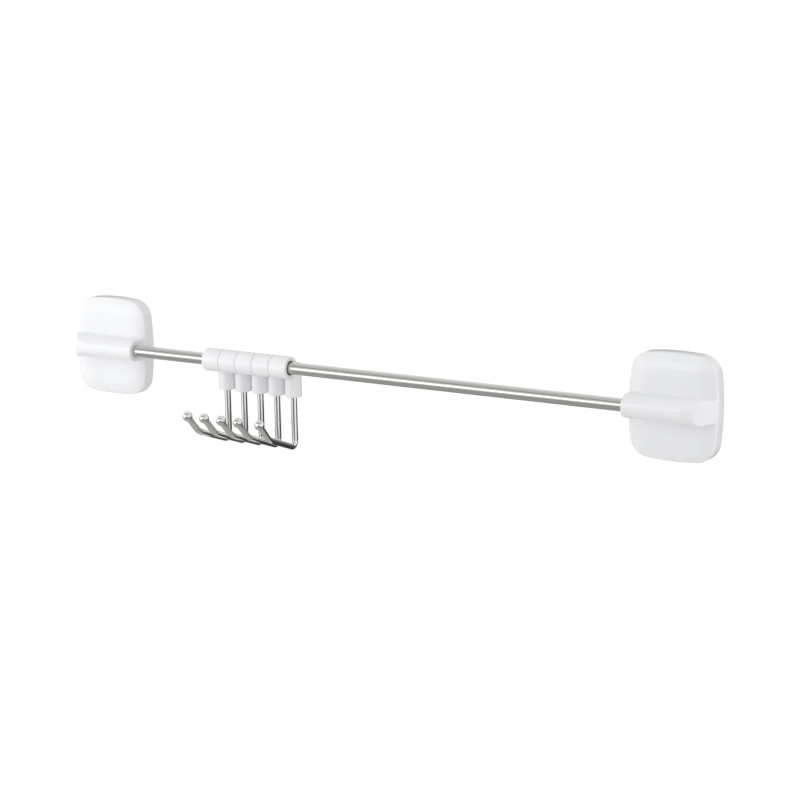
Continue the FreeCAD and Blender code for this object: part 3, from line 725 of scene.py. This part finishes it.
        under = np.stack([floor, np.full(floor.shape, base)], axis=-1)
        ring = np.concatenate([np.stack([across, deep], axis=-1), under], axis=1)
        places = np.broadcast_to(along[:, None, None], ring.shape[:2] + (1,))
        rings = np.concatenate([places, ring], axis=-1)[..., [0, 2, 1]]
        facing = np.arctan2(rings[0, :, 2], -rings[0, :, 1])
        holes = [
            (mouth + self.bore_shown, self.bore_radius),
            (mouth + self.bore_break, self.bore_radius),
            (mouth, self.bore_radius + self.bore_break),
        ]
        bore = np.stack(
            [
                np.stack([np.full(len(facing), x), -r * np.cos(facing), r * np.sin(facing)], axis=-1)
                for x, r in holes
            ]
        )
        return Skin.from_rings(np.concatenate([bore, rings]))

    def build(self) -> bpy.types.Object:
        """Make the pad's cover at its end of the rail; the left one is the right one turned about Y.

        Returns:
            The cover.
        """
        sign = self.side.value
        place = middle(self.node)

        def settle(points: np.ndarray) -> np.ndarray:
            """Turn the points half round about Y at the left end, and carry them to the end of the rail."""
            return points * np.array([sign, 1.0, sign]) + np.array([place[0], 0.0, 0.0])

        skins = [skin.moved(settle) for skin in (self.shell(), self.socket())]
        piece = make_piece(f"{self.side.name.lower()}_pad_cover", skins, self.material, "rail")
        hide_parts(self.node)
        return piece


# The rail


@dataclass
class Tube:
    """The steel tube, with its wall and its broken ends."""

    material: bpy.types.Material
    radius: float = 5.0
    wall: float = 0.8
    end_break: float = 0.25
    stations: int = 60
    around: int = 96
    node: str = "rail_tube"

    def build(self) -> bpy.types.Object:
        """Turn the wall's section about the axis; it is a loop, outside and back through the bore.

        Returns:
            The tube.
        """
        low, high = reach(self.node)
        left, right = low[0], high[0]
        along = np.linspace(left + self.end_break, right - self.end_break, self.stations)
        outer = np.stack([along, np.full(self.stations, self.radius)], axis=-1)
        ends = np.array([[right, self.radius - self.end_break], [right, self.radius - self.wall]])
        starts = np.array([[left, self.radius - self.wall], [left, self.radius - self.end_break]])
        skin = turned(np.concatenate([outer, ends, starts]), self.around, Rows.LOOP)
        piece = make_piece("steel_rail", [skin], self.material, "rail")
        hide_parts(self.node)
        return piece


# The hooks


@dataclass
class Hook:
    """One sliding hook: sleeve, wire and ball, in a frame whose origin is on the tube's axis."""

    number: int
    plastic: bpy.types.Material
    chrome: bpy.types.Material
    turn: float = 0.0
    tilt: float = 2.0
    length: float = 16.4
    radius: float = 9.5
    end_round: float = 0.7
    mouth: float = 6.1
    mouth_break: float = 0.4
    lip: float = 1.6
    groove: float = 6.62
    drop_back: float = 15.9
    drop_radius: float = 7.0
    drop_top: float = 0.6
    drop_bottom: float = 28.0
    top_round: float = 2.0
    foot_round: float = 0.9
    hole_shown: float = 2.0
    hole_break: float = 0.15
    pin_mark: float = 0.6
    neck_width: float = 9.0
    neck_down: float = 7.5
    neck_sink: float = 0.4
    neck_round: float = 0.8
    wire_radius: float = 2.6
    wire_top: float = 16.0
    corner_down: float = 72.1
    corner_bend: float = 4.6
    run_reach: float = 44.6
    run_rise: float = 16.9
    tip_bend: float = 20.0
    tip_reach: float = 14.7
    tip_rise: float = 15.8
    ball_radius: float = 4.14
    ball_seat: float = 2.6
    seat_gap: float = 0.02

    def ring(self) -> Skin:
        """The ring on the tube: its section, with rounded ends and the bush's groove, turned about X.

        Returns:
            The closed surface.
        """
        half, soft = self.length / 2, self.end_round
        outer_right = arc((half - soft, self.radius - soft), soft, 0, 90, 8)
        outer_left = arc((soft - half, self.radius - soft), soft, 90, 180, 8)
        inner = np.array(
            [
                [-half, self.mouth + self.mouth_break],
                [self.mouth_break - half, self.mouth],
                [self.lip - half, self.mouth],
                [self.lip - half, self.groove],
                [half - self.lip, self.groove],
                [half - self.lip, self.mouth],
                [half - self.mouth_break, self.mouth],
                [half, self.mouth + self.mouth_break],
            ]
        )
        return turned(np.concatenate([outer_right, outer_left, inner]), 120, Rows.LOOP)

    def drop(self) -> Skin:
        """The drop: a round bar with a rounded top and foot, turned about its own upright axis.

        Returns:
            The closed surface, with the mouth of the wire's hole in its foot.
        """
        low, high, bar = -self.drop_bottom, self.drop_top, self.drop_radius
        foot = arc((bar - self.foot_round, low + self.foot_round), self.foot_round, 270, 360, 6)
        top = arc((bar - self.top_round, high - self.top_round), self.top_round, 0, 90, 8)
        rim = self.wire_radius + self.seat_gap
        hole = [[rim, low + self.hole_shown], [rim, low + self.hole_break], [rim + self.hole_break, low]]
        profile = np.concatenate([hole, foot, top, [[self.pin_mark, high]]])
        spun = turned(profile[:, ::-1], 96)
        return spun.moved(lambda p: np.stack([p[:, 1], p[:, 2] + self.drop_back, p[:, 0]], axis=-1))

    def neck(self) -> Skin:
        """The web between ring and drop: a rounded rectangle carried from the ring to the drop's middle.

        Returns:
            The closed surface.
        """
        low, high = -self.neck_down, self.drop_top - self.neck_sink
        half, soft = self.neck_width / 2, self.neck_round
        corners = [
            (half - soft, high - soft, 0),
            (soft - half, high - soft, 90),
            (soft - half, low + soft, 180),
            (half - soft, low + soft, 270),
        ]
        loop = np.concatenate([arc((x, z), soft, start, start + 90, 5) for x, z, start in corners])
        backs = np.linspace((self.groove + self.radius) / 2, self.drop_back, 6)
        grid = np.stack([np.column_stack([loop[:, 0], np.full(len(loop), y), loop[:, 1]]) for y in backs])
        return Skin.from_rings(grid)

    def path(self) -> tuple[np.ndarray, np.ndarray]:
        """The wire's middle line: straight lengths and tangent arcs in the (y, z) plane.

        At a corner, an arc of the bend's radius touches both straight lengths: it starts radius * tan(half
        the turn) before the corner.

        Returns:
            Places along the line, and its direction at each.
        """
        corners = np.array(
            [
                [0.0, -self.wire_top],
                [0.0, -self.corner_down],
                [-self.run_reach, self.run_rise - self.corner_down],
                [-(self.run_reach + self.tip_reach), self.run_rise + self.tip_rise - self.corner_down],
            ]
        )
        spans = np.diff(corners, axis=0)
        units = spans / np.linalg.norm(spans, axis=1)[:, None]
        points, ways = [corners[0]], [units[0]]
        bends = (self.corner_bend, self.tip_bend)
        for corner, before, after, radius in zip(corners[1:], units, units[1:], bends):
            swing = math.acos(float(before @ after))
            side = np.sign(before[0] * after[1] - before[1] * after[0])
            normal = side * np.array([-before[1], before[0]])
            start = corner - before * radius * math.tan(swing / 2)
            for turn in np.linspace(0, swing, max(8, round(radius * swing / 0.5))):
                points.append(start + radius * (math.sin(turn) * before + (1 - math.cos(turn)) * normal))
                ways.append(math.cos(turn) * before + math.sin(turn) * normal)
        points.append(corners[-1] - units[-1] * (self.ball_radius - self.ball_seat))
        ways.append(units[-1])
        return np.array(points), np.array(ways)

    def wire(self) -> Skin:
        """The wire: at each place of its line, a circle of X and the line's own normal.

        Returns:
            The closed surface.
        """
        points, ways = self.path()
        turn = np.linspace(0, 2 * np.pi, 40, endpoint=False)
        normal = np.stack([-ways[:, 1], ways[:, 0]], axis=-1)
        out = self.wire_radius * np.sin(turn)[None, :, None]
        across = np.broadcast_to(self.wire_radius * np.cos(turn), (len(points), len(turn)))
        plane = points[:, None, :] + out * normal[:, None, :]
        return Skin.from_rings(np.concatenate([across[..., None], plane], axis=-1))

    def ball(self) -> Skin:
        """The ball: a half circle turned about the tip's direction, cut flat where the wire enters it.

        Returns:
            The closed surface.
        """
        rim = self.wire_radius + self.seat_gap
        cut = math.degrees(math.asin(rim / self.ball_radius))
        profile = arc((0.0, 0.0), self.ball_radius, 180 - cut, 1.5, 40)
        inner = np.array([[-(self.ball_radius - self.ball_seat), rim]])
        spun = turned(np.concatenate([inner, profile]), 64)
        lean = math.degrees(math.atan2(self.tip_rise, self.tip_reach))
        forward = spun.moved(lambda p: np.stack([p[:, 1], -p[:, 0], p[:, 2]], axis=-1))
        aimed = forward.moved(lambda p: about_x(p, -lean))
        height = self.run_rise + self.tip_rise - self.corner_down
        place = np.array([0.0, -(self.run_reach + self.tip_reach), height])
        return aimed.moved(lambda p: p + place)

    def hang(self, skin: Skin, on_wire: bool) -> Skin:
        """Carry a surface to the hook's place: turn it about the drop, tilt it about the tube, slide it.

        Args:
            skin: Surface in the hook's own frame, or in the wire's.
            on_wire: Whether it belongs to the wire, and so turns about the drop.

        Returns:
            The surface in the rail's frame.
        """
        place = np.array([middle(f"hook_{self.number}_sleeve")[0], 0.0, 0.0])
        if on_wire:
            skin = skin.moved(lambda p: about_z(p, self.turn) + np.array([0.0, self.drop_back, 0.0]))
        return skin.moved(lambda p: about_x(p, self.tilt) + place)

    def build(self) -> list[bpy.types.Object]:
        """Make the hook's visible pieces.

        Returns:
            Sleeve, wire and ball.
        """
        body = f"hook_{self.number}"
        made = []
        for piece, skins, on_wire, finish, slot in (
            ("sleeve", [self.ring(), self.drop(), self.neck()], False, self.plastic, "sleeve"),
            ("wire", [self.wire()], True, self.chrome, "hook_wire"),
            ("ball", [self.ball()], True, self.chrome, "hook_ball"),
        ):
            hung = [self.hang(skin, on_wire) for skin in skins]
            made.append(make_piece(f"hook_{self.number}_{piece}_body", hung, finish, body))
            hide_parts(f"hook_{self.number}_{piece}")
        return made


# The studio


def turned_to(name: str, data: bpy.types.ID, place: Vector, aim: Vector) -> bpy.types.Object:
    """Link an object that stands at a place and points its -Z at another.

    Args:
        name: Name of the object.
        data: Lamp or camera that it holds.
        place: Where it stands, in metres.
        aim: What it points at, in metres.

    Returns:
        The object.
    """
    holder = bpy.data.objects.new(name, data)
    holder.location = place
    holder.rotation_euler = (aim - place).to_track_quat("-Z", "Y").to_euler()
    bpy.context.scene.collection.objects.link(holder)
    return holder


@dataclass(frozen=True)
class Softbox:
    """A large soft lamp.

    Attributes:
        name: Name of the lamp.
        place: Where it stands, in metres.
        aim: What it points at, in metres.
        size: Its width and height, in metres.
        level: Radiance of its face; one is white.
        mirrored: Whether bright metal shows it.
    """

    name: str
    place: tuple[float, float, float]
    aim: tuple[float, float, float]
    size: tuple[float, float]
    level: float
    mirrored: bool = True

    def build(self) -> None:
        """Make the lamp: its power is radiance times pi times area."""
        lamp = bpy.data.lights.new(self.name, "AREA")
        lamp.shape = "RECTANGLE"
        lamp.size, lamp.size_y = self.size
        lamp.energy = self.level * math.pi * self.size[0] * self.size[1]
        holder = turned_to(self.name, lamp, Vector(self.place), Vector(self.aim))
        holder.visible_glossy = self.mirrored


@dataclass(frozen=True)
class Card:
    """A grey or black card that only reflections see: it gives bright metal its darker bands.

    Attributes:
        name: Name of the card.
        corner: One corner, in metres.
        side: Way from that corner to the next, in metres.
        rise: Way from that corner to the one before, in metres.
        grey: How light it is; one is white.
    """

    name: str
    corner: tuple[float, float, float]
    side: tuple[float, float, float]
    rise: tuple[float, float, float]
    grey: float

    def build(self) -> None:
        """Make the card as one staged face. It lights nothing, so it isn't sampled as a lamp."""
        first, side, rise = Vector(self.corner), Vector(self.side), Vector(self.rise)
        mesh = bpy.data.meshes.new(self.name)
        mesh.from_pydata([first, first + side, first + side + rise, first + rise], [], [(0, 1, 2, 3)])
        card = bpy.data.objects.new(self.name, mesh)
        bpy.context.scene.collection.objects.link(card)
        card.visible_camera = card.visible_diffuse = card.visible_shadow = card.visible_transmission = False
        material = bpy.data.materials.new(self.name)
        material.use_nodes = True
        tree = material.node_tree
        tree.nodes.clear()
        face = add_node(tree, "ShaderNodeEmission", values={"Strength": self.grey})
        add_node(tree, "ShaderNodeOutputMaterial", links={"Surface": face.outputs["Emission"]})
        material.cycles.emission_sampling = "NONE"
        mesh.materials.append(material)


@dataclass
class Studio:
    """Floor, world, lamps and camera."""

    azimuth: float = 30.25
    elevation: float = 11.45
    distance: float = 1.8506
    target: tuple[float, float, float] = (0.03219, 0.0, -0.01609)
    lens: float = 103.707
    floor_drop: float = 1.2
    floor_half: float = 12.0
    floor_glow: float = 1.1
    floor_white: float = 0.86
    floor_lift: float = 0.06
    air_edge: float = -0.44
    air_high: float = 0.945
    air_azimuth: float = 6.0
    air_elevation: float = 43.0
    lamps: tuple[Softbox, ...] = (
        Softbox("front_left_softbox", (-0.62, -1.15, 0.1), (-0.15, 0.0, 0.0), (1.1, 0.46), 1.3),
        Softbox("hook_fill", (-0.32, -0.5, -0.25), (-0.12, 0.0, -0.02), (0.22, 0.22), 0.8, False),
        Softbox("left_fill", (-1.5, -0.66, 0.18), (-0.265, 0.0, 0.0), (0.8, 0.8), 2.7, False),
        Softbox("right_fill", (1.35, 0.2, 0.1), (0.265, 0.0, 0.0), (0.6, 0.8), 2.5, False),
        Softbox("back_fill", (0.0, 1.8, 0.0), (0.0, 0.0, 0.0), (3.0, 1.8), 0.9, False),
    )
    cards: tuple[Card, ...] = (
        Card("lower_front_card", (-0.85, -1.05, -0.36), (1.0, 0.0, 0.0), (0.0, 1.25, 0.0), 0.44),
        Card("lower_right_card", (0.15, -0.6, -0.36), (0.9, 0.0, 0.0), (0.0, 0.8, 0.0), 0.2),
        Card("lower_left_card", (-1.0, 0.2, -0.36), (0.73, 0.0, 0.0), (0.0, 0.8, 0.0), 0.42),
        Card("left_edge_card", (-2.2, -0.1, -0.36), (1.2, 0.0, 0.0), (0.0, 1.1, 0.0), 0.05),
        Card("far_left_card", (-2.2, 1.0, -0.36), (1.93, 0.0, 0.0), (0.0, 0.7, 0.0), 0.10),
        Card("lower_back_card", (-0.27, 0.2, -0.36), (1.6, 0.18, 0.0), (0.0, 1.45, 0.0), 0.05),
        Card("back_card", (-0.30, 1.7, -0.36), (1.9, 0.0, 0.0), (0.0, 0.0, 0.66), 0.18),
        Card("upper_back_card", (-1.8, 1.7, -0.36), (1.5, 0.0, 0.0), (0.0, 0.0, 0.85), 0.33),
        Card("upper_card", (-1.5, -0.91, 0.71), (2.7, 0.0, 0.0), (0.0, 0.42, 0.36), 0.37),
        Card("overhead_card", (-1.5, -0.40, 1.2), (2.7, 0.0, 0.0), (0.0, 0.8, 0.0), 0.68),
        Card("camera_card", (-0.48, -1.71, -0.95), (1.44, 0.33, 0.0), (0.0, 0.0, 1.0), 0.02),
    )

    @staticmethod
    def plain_view(tree: bpy.types.NodeTree) -> bpy.types.NodeSocket:
        """One for the rays that look at the background: those of the camera, of gloss and of glass.

        Args:
            tree: Node tree of the material or the world.

        Returns:
            The socket that gives one or zero.
        """
        path = add_node(tree, "ShaderNodeLightPath")
        first = add_node(
            tree,
            "ShaderNodeMath",
            settings={"operation": "MAXIMUM"},
            links={0: path.outputs["Is Camera Ray"], 1: path.outputs["Is Glossy Ray"]},
        )
        both = add_node(
            tree,
            "ShaderNodeMath",
            settings={"operation": "MAXIMUM"},
            links={0: first.outputs["Value"], 1: path.outputs["Is Transmission Ray"]},
        )
        return both.outputs["Value"]

    def world(self) -> None:
        """Soft light that leans to the front and above, and plain white to every ray that looks."""
        world = bpy.data.worlds.new("studio_air")
        bpy.context.scene.world = world
        world.use_nodes = True
        tree = world.node_tree
        tree.nodes.clear()
        way = add_node(tree, "ShaderNodeTexCoord").outputs["Generated"]
        a, e = math.radians(self.air_azimuth), math.radians(self.air_elevation)
        toward = (math.sin(a) * math.cos(e), -math.cos(a) * math.cos(e), math.sin(e))
        lean = add_node(
            tree,
            "ShaderNodeVectorMath",
            settings={"operation": "DOT_PRODUCT"},
            values={1: toward},
            links={0: way},
        )
        height = add_node(
            tree,
            "ShaderNodeMapRange",
            settings={"interpolation_type": "SMOOTHSTEP"},
            values={"From Min": self.air_edge, "From Max": 1.0, "To Min": 0.0, "To Max": self.air_high},
            links={"Value": lean.outputs["Value"]},
        )
        strength = add_node(
            tree,
            "ShaderNodeMix",
            settings={"data_type": "FLOAT"},
            values={3: 1.0},
            links={0: self.plain_view(tree), 2: height.outputs["Result"]},
        )
        air = add_node(
            tree,
            "ShaderNodeBackground",
            values={"Color": linear("#FFFFFF")},
            links={"Strength": strength.outputs[0]},
        )
        add_node(tree, "ShaderNodeOutputWorld", links={"Surface": air.outputs["Background"]})

    def floor(self) -> None:
        """A plain pale floor, well below the rail, white to every ray that looks, with a trace of shadow."""
        mesh = bpy.data.meshes.new("studio_floor")
        edge, drop = self.floor_half, -self.floor_drop
        corners = [(-edge, -edge, drop), (edge, -edge, drop), (edge, edge, drop), (-edge, edge, drop)]
        mesh.from_pydata(corners, [], [(0, 1, 2, 3)])
        ground = bpy.data.objects.new("studio_floor", mesh)
        bpy.context.scene.collection.objects.link(ground)
        material = bpy.data.materials.new("pale_floor")
        material.use_nodes = True
        tree = material.node_tree
        tree.nodes.clear()
        paint = add_node(tree, "ShaderNodeBsdfDiffuse", values={"Color": linear("#F2F2F2")})
        lift = add_node(tree, "ShaderNodeEmission", values={"Strength": self.floor_lift})
        bright = add_node(
            tree,
            "ShaderNodeAddShader",
            links={0: paint.outputs["BSDF"], 1: lift.outputs["Emission"]},
        )
        white = add_node(tree, "ShaderNodeEmission", values={"Strength": self.floor_glow})
        kept = add_node(
            tree,
            "ShaderNodeMixShader",
            values={0: self.floor_white},
            links={1: paint.outputs["BSDF"], 2: white.outputs["Emission"]},
        )
        both = add_node(
            tree,
            "ShaderNodeMixShader",
            links={0: self.plain_view(tree), 1: bright.outputs["Shader"], 2: kept.outputs["Shader"]},
        )
        add_node(tree, "ShaderNodeOutputMaterial", links={"Surface": both.outputs["Shader"]})
        mesh.materials.append(material)

    def camera(self) -> None:
        """The camera, at the photograph's angle: target plus distance times the backward direction."""
        a, e = math.radians(self.azimuth), math.radians(self.elevation)
        back = Vector((math.sin(a) * math.cos(e), -math.cos(a) * math.cos(e), math.sin(e)))
        data = bpy.data.cameras.new("photo_camera")
        data.sensor_width = 36.0
        data.lens = self.lens
        data.clip_end = 50.0
        aim = Vector(self.target)
        bpy.context.scene.camera = turned_to("photo_camera", data, aim + back * self.distance, aim)

    def build(self) -> None:
        """Make the whole studio."""
        bpy.context.scene.view_settings.view_transform = "Standard"
        self.world()
        self.floor()
        self.camera()
        for thing in self.lamps + self.cards:
            thing.build()


def dress_nodes(finishes: dict[str, bpy.types.Material]) -> None:
    """Give each CAD node that stays on show the finish of its material slot.

    Args:
        finishes: Materials by record slot.
    """
    slots = {part["node"]: part["material_slot"] for part in frame["record"]["subparts"]}
    for name, piece in frame["nodes"].items():
        piece.data.materials.clear()
        piece.data.materials.append(finishes[slots[name]])
        LOG.info("%s keeps its CAD shape as %s", name, finishes[slots[name]].name)


def main() -> None:
    """Build the rail, its pads and its hooks, then the studio."""
    logging.basicConfig(level=logging.INFO, format="%(message)s")
    white, steel, chrome, zinc = WHITE_ABS.build(), SATIN_STEEL.build(), CHROME.build(), ZINC.build()
    finishes = {
        "cover": white,
        "sleeve": white,
        "back_plate": PLATE_ABS.build(),
        "adhesive_pad": GEL.build(),
        "screws": zinc,
        "tube_plug": NYLON.build(),
        "rail_tube": steel,
        # The bush's dark grey is partly painted shade for the shadowed gap in the sleeve's mouth.
        "bush": ACETAL_MOUTH_SHADE.build(),
        "hook_wire": chrome,
        "hook_ball": chrome,
    }
    dress_nodes(finishes)
    for side in Side:
        WallPad(side, white).build()
    Tube(steel).build()
    for number in range(1, HOOK_COUNT + 1):
        Hook(number, white, chrome, turn=TURNED_BY if number == TURNED_HOOK else 0.0).build()
    Studio().build()


if __name__ == "__main__":
    main()
